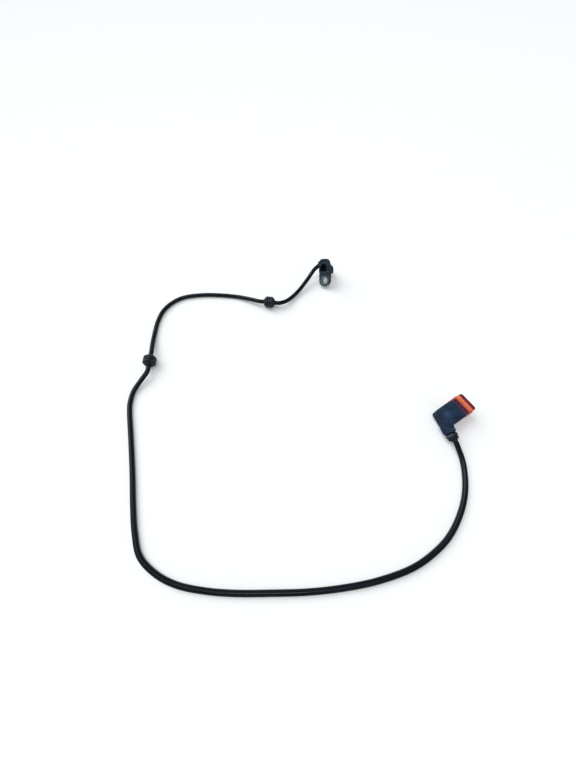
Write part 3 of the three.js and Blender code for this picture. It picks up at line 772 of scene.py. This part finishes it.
def makeHousingBody():
    thickness = head["flangeThickness"]
    corner = head["flangeCorner"]
    halfWidth = head["flangeHalfWidth"]
    side = halfWidth - corner
    farY = head["flangeEnd"] - corner
    flange = arc(0, 0, halfWidth, 180, 360, 28)
    flange += arc(side, farY, corner, 0, 90) + arc(-side, farY, corner, 90, 180)
    edge = head["flangeEdge"]
    body = prism("sensorHousing", flange, 0, thickness, edge, edge)
    dome = bluntOutline(
        0, head["domeHalfWidth"], head["domeStart"], head["domeEnd"], head["domeFoot"], head["domeCorner"]
    )
    added = [prism("dome", dome, head["domeBottom"], head["domeTop"], 0, head["domeEdge"])]
    slant = math.radians(head["outletSlant"])
    along = Vector((-math.cos(slant), -math.sin(slant), 0))
    outletFrame = aimed(head["outlet"], along)
    inside = -head["outletInside"]
    boss = rod("boss", head["outletRadius"], inside, head["outletReach"], head["outletEdge"])
    added.append(moved(boss, outletFrame))
    added.append(prism("nose", noseOutline(), -head["noseLength"], head["noseRoot"], head["noseEdge"]))
    stand = noseOutline(head["collarStand"])
    added.append(prism("noseCollar", stand, -head["collarHeight"], head["noseRoot"]))
    combined(body, added, "UNION")
    return body, along, outletFrame


def noseDetails(body):
    y = head["noseY"]
    width = head["ribWidth"]
    length = head["ribLength"]
    depth = head["noseHalfHeight"] + head["ribHeight"]
    middle = head["ribTop"] - length / 2
    across = 2 * (head["noseHalfWidth"] + head["ribHeight"])
    ribs = [block("rib", (across, width, length), (0, y, middle))]
    for x, ribY in ((head["ribSpread"], -depth / 2), (-head["ribSpread"], -depth / 2), (0, depth / 2)):
        ribs.append(block("rib", (width, depth, length), (x, y + ribY, middle)))
    combined(body, ribs, "UNION")
    low = head["grooveStart"]
    high = low + head["grooveWidth"]
    ring = prism("ring", noseOutline(past), low, high)
    core = prism("core", noseOutline(-head["grooveDepth"]), low - past, high + past)
    return combined(body, [combined(ring, [core], "DIFFERENCE")], "DIFFERENCE")


def makeHousing():
    body, along, outletFrame = makeHousingBody()
    noseDetails(body)
    roomRadius, roomTop = head["noseRoom"]
    roomLow = head["noseWall"] - head["noseLength"]
    (sideX, sideY), sideRadius, sideLow, sideHigh = head["sideRoom"]
    pocket = bluntOutline(
        head["pocketX"], head["pocketHalfWidth"], head["pocketStart"], head["pocketEnd"],
        head["pocketFoot"], head["pocketHalfWidth"] - hair,
    )
    cableEnd = Vector(head["outlet"]) - along * head["outletInside"]
    toRoom = Vector((sideX, sideY, head["outlet"][2])) - cableEnd
    bushHole = rod("bushHole", head["bushBore"], -past, head["flangeThickness"] + past)
    noseRoom = rod("noseRoom", roomRadius, roomLow, roomTop)
    sideRoom = rod("sideRoom", sideRadius, sideLow, sideHigh)
    coreWay = rod("coreWay", head["coreWay"], -head["coreWayBack"], toRoom.length)
    boreRadius = cable["radius"] + head["cableGap"]
    cableBore = rod("cableBore", boreRadius, -head["outletInside"], head["outletReach"] + past)
    cutters = [
        bushHole,
        prism("pocket", pocket, head["pocketFloor"], head["domeTop"] + past, head["pocketEdge"]),
        moved(noseRoom, Matrix.Translation((0, head["noseY"], 0))),
        moved(sideRoom, Matrix.Translation((sideX, sideY, 0))),
        moved(coreWay, aimed(cableEnd, toRoom)),
        moved(cableBore, outletFrame),
    ]
    combined(body, cutters, "DIFFERENCE")
    return withPaintedShade(mouldedSkin(body, head["voxel"], head["easeRounds"]), headShade)


# Painted shades of the head, and where they begin and end in millimetres
headShades = {
    "pocketSpill": 0.25,  # how far the pocket's dark passes its walls
    "floorSpill": 0.3,
    "pocketWall": 0.5,
    "pocketRise": 2,
    "pocketLip": 0.7,  # below the block's top, where the dark begins
    "pocketFade": 1.2,
    "dome": 0.5,
    "domeFrom": 1,
    "domeFade": 3,
    "nose": 0.95,
    "noseFrom": -0.2,
    "rim": 0.7,
    "rimWidth": 0.9,
}


# Painted shade: darkest down in the pocket, darker on the raised block and the nose than on the flange,
# and dark along the flange's sides
def headShade(point):
    spill = headShades["pocketSpill"]
    across = head["pocketHalfWidth"] + spill - abs(point.x - head["pocketX"])
    along = min(point.y - head["pocketStart"], head["pocketEnd"] - point.y) + spill
    inside = min(across, along)
    deep = head["domeTop"] - headShades["pocketLip"] - point.z
    pocket = 0.0
    if inside > 0 and point.z > head["pocketFloor"] - headShades["floorSpill"]:
        byWall = headShades["pocketRise"] * inside + headShades["pocketWall"]
        pocket = min(1.0, byWall, deep / headShades["pocketFade"])
    onDome = point.y - head["domeStart"] - headShades["domeFrom"]
    dome = limited(onDome / headShades["domeFade"], headShades["dome"])
    nose = headShades["nose"] if point.z < headShades["noseFrom"] else 0.0
    fromRim = abs(point.x) - head["flangeHalfWidth"] + headShades["rimWidth"]
    return max(pocket, dome, nose, limited(fromRim, headShades["rim"]))


# Bush: a plain steel sleeve that stands a little proud of the flange on both sides
bush = {
    "outerRadius": 4.7,
    "boreRadius": 3.1,
    "stand": 0.3,
    "chamfer": 0.35,
    "soften": 0.12,
    "sides": 72,
    # the bore's dark is painted shade
    "darkRim": 0.3,  # how far the bore's dark passes its edge
}


def makeBush():
    bottom = -bush["stand"]
    top = head["flangeThickness"] + bush["stand"]
    chamfer = bush["chamfer"]
    inner = bush["boreRadius"]
    outer = bush["outerRadius"]
    profile = [(inner + chamfer, bottom), (outer - chamfer, bottom), (outer, bottom + chamfer)]
    profile += [(outer, top - chamfer), (outer - chamfer, top), (inner + chamfer, top)]
    profile += [(inner, top - chamfer), (inner, bottom + chamfer)]
    dark = inner + bush["darkRim"]
    piece = turned("steelBush", softened(profile, bush["soften"]), bush["sides"])
    # painted shade inside the bore
    return withPaintedShade(piece, lambda point: math.hypot(point.x, point.y) < dark)


def makeHead():
    rotation = turn("Z", head["turn"]) @ turn("X", head["lean"]) @ turn("Y", head["roll"])
    place = frameAt("mounting_bush", (0, 0, head["flangeThickness"] / 2), rotation)
    settled(makeHousing(), place, "housing", "moulded_plastic", "sensor_housing")
    settled(makeBush(), place, "steel", "bush_steel", "mounting_bush")
    print("sensing head moulded")


makeHead()


# Plug: X along the mating direction, leg towards -Y, Z out of the face that looks up
plug = {
    "roll": 2,
    "heading": 32.4,
    "backX": -14.6,
    "lean": 13,
    "cornerReach": 4.5,
    "backRound": 4,
    "frontX": 7.2,
    "halfWidth": 9.7,
    "halfHeight": 7,
    "round": 2.6,
    "wall": 1.5,
    "legEnd": (-14, -14, 0),
    "legLean": 13,
    "legProfile": [(0, -12), (2, -12), (4.6, -10), (6, -6), (5.7, 0), (0, 0)],
    "legSoften": 0.6,
    "legSides": 56,
    "coreBore": 2.9,
    "coreBoreInside": 9.5,
    "voxel": 0.25,
    "easeRounds": 4,
}


def coverOutline():
    tangent = math.tan(math.radians(plug["lean"]))
    halfWidth = plug["halfWidth"]
    farBack = plug["backX"] + halfWidth * tangent
    reach = plug["cornerReach"]
    outline = [Vector((plug["frontX"], -halfWidth)), Vector((plug["frontX"], halfWidth))]
    start = Vector((farBack + reach, halfWidth))
    middle = Vector((farBack, halfWidth))
    end = Vector((plug["backX"] + (halfWidth - reach) * tangent, halfWidth - reach))
    steps = 12
    for i in range(steps + 1):
        t = i / steps
        outline.append(start * (1 - t) ** 2 + middle * 2 * t * (1 - t) + end * t**2)
    outline.append(Vector((plug["backX"] - halfWidth * tangent, -halfWidth)))
    return outline


# The cover's body, or its hollow when inset by the wall
def coverBlock(name, thinner):
    height = plug["halfHeight"] - thinner
    halfLength = plug["frontX"] - plug["backX"]
    width = plug["halfWidth"] - thinner
    bar = sleeve(name, -2 * halfLength, plug["frontX"], width, height, plug["round"] - thinner)
    side = roundedRectangle(halfLength, height, plug["backRound"] - thinner, 12)
    reach = 2 * plug["halfWidth"]
    back = prism("back", [point + Vector((halfLength + thinner, 0)) for point in side], -reach, reach)
    lean = Matrix.Translation((plug["backX"], 0, 0)) @ turn("Z", -plug["lean"]) @ turn("X", 90)
    return combined(bar, [moved(back, lean)], "INTERSECT")


def legFrame():
    lean = math.radians(plug["legLean"])
    return aimed(plug["legEnd"], (-math.sin(lean), -math.cos(lean), 0))


def makeCover():
    height = plug["halfHeight"]
    width = plug["halfWidth"] - plug["wall"]
    body = coverBlock("plugCover", 0)
    combined(body, [prism("plan", coverOutline(), -height, height)], "INTERSECT")
    leg = turned("leg", softened(plug["legProfile"], plug["legSoften"], False), plug["legSides"])
    combined(body, [moved(leg, legFrame())], "UNION")
    wall = plug["wall"]
    front = plug["frontX"]
    pressedRadius = relief["bodyRadius"] + relief["pressGap"]
    pressed = rod("pressed", pressedRadius, -relief["inside"] - relief["endGap"], past)
    coreBore = rod("coreBore", plug["coreBore"], -plug["coreBoreInside"], past)
    cutters = [
        coverBlock("hollow", wall),
        sleeve("mouth", front - past, front + past, width, height - wall, plug["round"] - wall),
        moved(pressed, legFrame()),
        moved(coreBore, legFrame()),
    ]
    combined(body, cutters, "DIFFERENCE")
    return withPaintedShade(mouldedSkin(body, plug["voxel"], plug["easeRounds"]), coverPaintedShade)


# Painted shades and the painted highlight of the cover, and where they begin and end in millimetres
coverShades = {
    "plain": 0.6,
    # painted highlight: where the cover's painted shade is least
    "paintedHighlight": (-7.2, 0.8, 3),  # x, y, reach
    "edgeStart": 0.75,  # of the half width
    "edgeRise": 3.6,
    "outerEdge": 0.35,  # how strong the edges are on the leg's outer side
    "frontWidth": 1.2,
    "innerStart": -16,
    "innerFade": 4,
    "cornerWidth": 1.1,
    "cornerShift": 0.2,
    "legOuter": 0.65,
    "legInner": 0.3,
    "legFade": 1.2,
}


# Painted shade and highlight: the cover is palest in a patch near its middle, a painted highlight, and
# painted dark along its long edges, at its front and in the corner that the leg's inner side makes with
# it; the leg is painted darker outside
def coverPaintedShade(point):
    shades = coverShades
    patchX, patchY, patchReach = shades["paintedHighlight"]
    away = ((point.x - patchX) ** 2 + (point.y - patchY) ** 2) / patchReach**2
    pastLeg = point.y + plug["halfWidth"]
    onCover = limited((pastLeg + shades["legFade"]) / shades["legFade"])
    inner = limited((point.x - shades["innerStart"]) / shades["innerFade"])
    cover = shades["plain"] * (1 - math.exp(-away))
    leg = shades["legOuter"] + (shades["legInner"] - shades["legOuter"]) * inner
    edge = max(0.0, abs(point.y) / plug["halfWidth"] - shades["edgeStart"]) * shades["edgeRise"]
    edge *= onCover * (shades["outerEdge"] + (1 - shades["outerEdge"]) * inner)
    front = point.x - plug["frontX"] + shades["frontWidth"]
    corner = inner * math.exp(-(((pastLeg + shades["cornerShift"]) / shades["cornerWidth"]) ** 2))
    return max(cover * onCover + leg * (1 - onCover), edge, front, corner)


# Strain relief: a grooved rubber sleeve pressed into the leg
relief = {
    "length": 7.4,
    "inside": 5,
    "bore": 2.45,
    "bodyRadius": 3.8,
    "grooveRadius": 4.5,
    "tipRadius": 3.4,
    "tipZ": 6.5,
    "rings": [(5.4, 0.9, 3.9), (4.8, 4.4, 6.2)],
    "slope": 0.4,
    "bodyEnd": 0.3,
    "pressGap": 0.1,
    "endGap": 0.3,
    "soften": 0.3,
    "sides": 56,
    "shadeRise": 1.3,
    "tipShade": 0.3,
    "tipReach": 0.1,
}


# Painted shade: dark between the sleeve's rings and a little dark where it ends on the cable
def paintedRingShade(point):
    radius = math.hypot(point.x, point.y)
    if radius <= relief["tipRadius"] + relief["tipReach"]:
        return relief["tipShade"]
    return limited(relief["shadeRise"] * (relief["rings"][0][0] - radius))


def makeRelief():
    bodyEnd = relief["bodyEnd"]
    slope = relief["slope"]
    profile = [(relief["bore"], -relief["inside"]), (relief["bodyRadius"], -relief["inside"])]
    profile += [(relief["bodyRadius"], bodyEnd), (relief["grooveRadius"], bodyEnd)]
    for radius, start, end in relief["rings"]:
        profile += [(relief["grooveRadius"], start), (radius, start + slope)]
        profile += [(radius, end - slope), (relief["grooveRadius"], end)]
    profile += [(relief["tipRadius"], relief["tipZ"]), (relief["tipRadius"], relief["length"])]
    profile.append((relief["bore"], relief["length"]))
    piece = turned("strainRelief", softened(profile, relief["soften"]), relief["sides"])
    return moved(withPaintedShade(piece, paintedRingShade), legFrame())


# Contact carrier: the violet inner block, whose collar has a row of pockets on each face
carrier = {
    "backX": -1.2,
    "frontX": 19.2,
    "halfWidth": 6.8,
    "halfHeight": 5,
    "round": 2,
    "edge": 0.2,
    "fit": 0.3,  # room that the seal and the retainer leave round it
    "collarStart": 7.5,
    "collarEnd": 12.3,
    "collarInset": 0.3,
    "collarEdge": 0.35,
    "port": 3.5,
    "portSpacing": 3,
    "lockSlot": (2.8, 9.8, 4.1, 1.45),  # length, width, start x, bottom z
}
pockets = {"Count": 6, "Pitch": 2.7, "Size": 1.4, "Depth": 1.0, "Along": 9.9}


def makeCarrier():
    width = plug["halfWidth"] - carrier["collarInset"]
    height = plug["halfHeight"] - carrier["collarInset"]
    edge = carrier["collarEdge"]
    body = sleeve(
        "contactCarrier", carrier["collarStart"], carrier["collarEnd"], width, height,
        plug["round"], edge, edge,
    )
    inner = sleeve(
        "inner", carrier["backX"], carrier["frontX"],
        carrier["halfWidth"], carrier["halfHeight"], carrier["round"],
        carrier["edge"], carrier["edge"],
    )
    combined(body, [inner], "UNION")
    middle = (carrier["backX"] + carrier["frontX"]) / 2
    length = carrier["frontX"] - carrier["backX"] + 2 * past
    port = carrier["port"]
    slotLength, slotWidth, slotStart, slotLow = carrier["lockSlot"]
    slotHeight = carrier["halfHeight"] + past - slotLow
    slotCentre = (slotStart + slotLength / 2, 0, slotLow + slotHeight / 2)
    cutters = [block("lockSlot", (slotLength, slotWidth, slotHeight), slotCentre)]
    for y in (-carrier["portSpacing"], carrier["portSpacing"]):
        cutters.append(block("port", (length, port, port), (middle, y, 0)))
    combined(body, cutters, "DIFFERENCE")
    values = {**pockets, "Face": height, "Finish": finishes["violet"]}
    floor = height - pockets["Depth"]
    # painted shade on the floors of the collar's pockets
    return withPaintedShade(grown(body, pocketTree(), values), lambda point: abs(abs(point.z) - floor) < 0.1)


# Seal: a ring with two lips
seal = {
    "startX": 12.6,
    "endX": 16.9,
    "stand": 0.55,
    "grooveDepth": 0.9,
    "lips": 2,
    "steps": 28,
    "sharpFrom": 60,  # degrees between two faces
}


def makeSeal():
    sizes = []
    length = seal["endX"] - seal["startX"]
    for i in range(seal["steps"] + 1):
        t = i / seal["steps"]
        wave = 0.5 - 0.5 * math.cos(2 * math.pi * seal["lips"] * t)
        out = seal["stand"] - seal["grooveDepth"] * (1 - math.sqrt(wave))
        x = seal["startX"] + length * t
        sizes.append((x, plug["halfWidth"] + out, plug["halfHeight"] + out, plug["round"] + out))
    fit = carrier["fit"]
    inner = (carrier["halfWidth"] + fit, carrier["halfHeight"] + fit, carrier["round"] + fit)
    sizes += [(seal["endX"], *inner), (seal["startX"], *inner)]
    return loft("plugSeal", sleeveRings(sizes), True)


# Retainer: the front piece, open where the two contacts go in
retainer = {
    "startX": 17.2,
    "endX": 20.9,
    "inset": 0.2,
    "backEdge": 0.25,
    "edge": 0.6,
    "mouth": (4.4, 1.9, 1.1),
}


def makeRetainer():
    width = plug["halfWidth"] - retainer["inset"]
    height = plug["halfHeight"] - retainer["inset"]
    start = retainer["startX"]
    end = retainer["endX"]
    edge = retainer["edge"]
    backEdge = retainer["backEdge"]
    body = sleeve("frontRetainer", start, end, width, height, plug["round"], backEdge, edge)
    fit = carrier["fit"]
    recess = sleeve(
        "recess", start - past, carrier["frontX"] + fit,
        carrier["halfWidth"] + fit, carrier["halfHeight"] + fit, carrier["round"],
    )
    cutters = [recess]
    for y in (-carrier["portSpacing"], carrier["portSpacing"]):
        cutters.append(block("mouth", retainer["mouth"], (end, y, 0)))
    return combined(body, cutters, "DIFFERENCE")


def makePlug():
    rotation = turn("Z", plug["heading"]) @ turn("X", plug["roll"])
    middle = (retainer["startX"] + retainer["endX"]) / 2
    place = frameAt("front_retainer", (middle, 0, 0), rotation)
    cover = settled(makeCover(), place, "cover", "moulded_plastic", "plug_cover")
    boot = settled(makeRelief(), place, "rubber", "black_rubber", "strain_relief")
    inner = measured(makeCarrier())
    ring = measured(makeSeal())
    front = measured(makeRetainer())
    settled(inner, place, "violet", "violet_plastic", "contact_carrier")
    settled(ring, place, "seal", "orange_seal", "plug_seal")
    settled(front, place, "violetWithPaintedRimShade", "dark_violet_plastic", "front_retainer")
    made = [cover, boot, crisp(inner), crisp(ring, seal["sharpFrom"]), crisp(front)]
    print("plug moulded")
    return made


plugPieces = makePlug()

# Inner pieces keep the frame's own solids and take their finish here
innerFinishes = {
    "carrier": ["chip_carrier"],
    "chip": ["sensing_chip"],
    "magnet": ["bias_magnet"],
    "contact": [
        "chip_lead_signal", "chip_lead_supply", "lead_splice_signal",
        "lead_splice_supply", "terminal_signal", "terminal_supply",
    ],
    "brownCore": ["head_core_signal", "plug_core_signal"],
    "blueCore": ["head_core_supply", "plug_core_supply"],
    "wireSeal": ["wire_seal_signal", "wire_seal_supply"],
    "lock": ["terminal_lock"],
}
for finish, names in innerFinishes.items():
    for name in names:
        for materialSlot in nodes[name].material_slots:
            materialSlot.material = finishes[finish]
print("inner pieces finished:", sum(len(names) for names in innerFinishes.values()))

# Stage: a white sheet, a broad soft light from the upper left, a panel overhead, a pale room
stage = {
    "sheetHalfSize": 3,
    "sheetWhite": 0.78,
    "sheetLift": 0.195,  # added where the camera or a reflection sees the sheet
    "roomStrength": 0.42,
    "roomColour": (0.93, 0.97, 1),
    "sunFrom": (-0.62, 0.42, 0.72),
    "sunSpread": 48,  # degrees across
    "sunStrength": 2.2,
    "sunColour": (0.95, 0.98, 1),
    "panelPlace": (-0.2, -0.2, 3.0),
    "panelSize": 0.55,
    "panelPower": 17,
}


def seenRays(maker):
    rays = [maker.add("ShaderNodeLightPath", output=ray) for ray in ("Is Camera Ray", "Is Glossy Ray")]
    clear = maker.add("ShaderNodeLightPath", output="Is Transmission Ray")
    return maker.add("ShaderNodeClamp", None, {0: rays[0] + rays[1] + clear})


def makeSheet():
    size = stage["sheetHalfSize"]
    corners = [(-size, -size, 0), (size, -size, 0), (size, size, 0), (-size, size, 0)]
    mesh = bpy.data.meshes.new("whiteSheet")
    mesh.from_pydata(corners, [], [(0, 1, 2, 3)])
    sheet = bpy.data.objects.new("whiteSheet", mesh)
    scene.collection.objects.link(sheet)
    material, maker = startMaterial("sheetPaper")
    white = (*[stage["sheetWhite"]] * 3, 1)
    paper = maker.add("ShaderNodeBsdfDiffuse", None, {"Color": white})
    strength = stage["sheetLift"] * seenRays(maker)
    lift = maker.add("ShaderNodeEmission", None, {"Strength": strength})
    both = maker.add("ShaderNodeAddShader", None, {0: paper, 1: lift})
    maker.add("ShaderNodeOutputMaterial", None, {"Surface": both})
    mesh.materials.append(material)


def makeLight():
    world = bpy.data.worlds.new("paleRoom")
    world.use_nodes = True
    scene.world = world
    maker = NodeMaker(world.node_tree)
    room = {"Color": (*stage["roomColour"], 1), "Strength": stage["roomStrength"]}
    light = maker.add("ShaderNodeBackground", None, room)
    backdrop = maker.add("ShaderNodeBackground", None, {"Color": (1, 1, 1, 1), "Strength": 1.0})
    cameraRay = maker.add("ShaderNodeLightPath", output="Is Camera Ray")
    both = maker.add("ShaderNodeMixShader", None, {0: cameraRay, 1: light, 2: backdrop})
    maker.add("ShaderNodeOutputWorld", None, {"Surface": both})
    sunData = bpy.data.lights.new("broadLight", "SUN")
    sunData.angle = math.radians(stage["sunSpread"])
    sunData.energy = stage["sunStrength"]
    sunData.color = stage["sunColour"]
    sun = bpy.data.objects.new("broadLight", sunData)
    sun.location = stage["sunFrom"]
    sun.rotation_euler = (-sun.location).to_track_quat("-Z", "Y").to_euler()
    scene.collection.objects.link(sun)
    panelData = bpy.data.lights.new("overheadPanel", "AREA")
    panelData.size = stage["panelSize"]
    panelData.energy = stage["panelPower"]
    panel = bpy.data.objects.new("overheadPanel", panelData)
    panel.location = stage["panelPlace"]
    scene.collection.objects.link(panel)


makeSheet()
makeLight()
print("stage set")
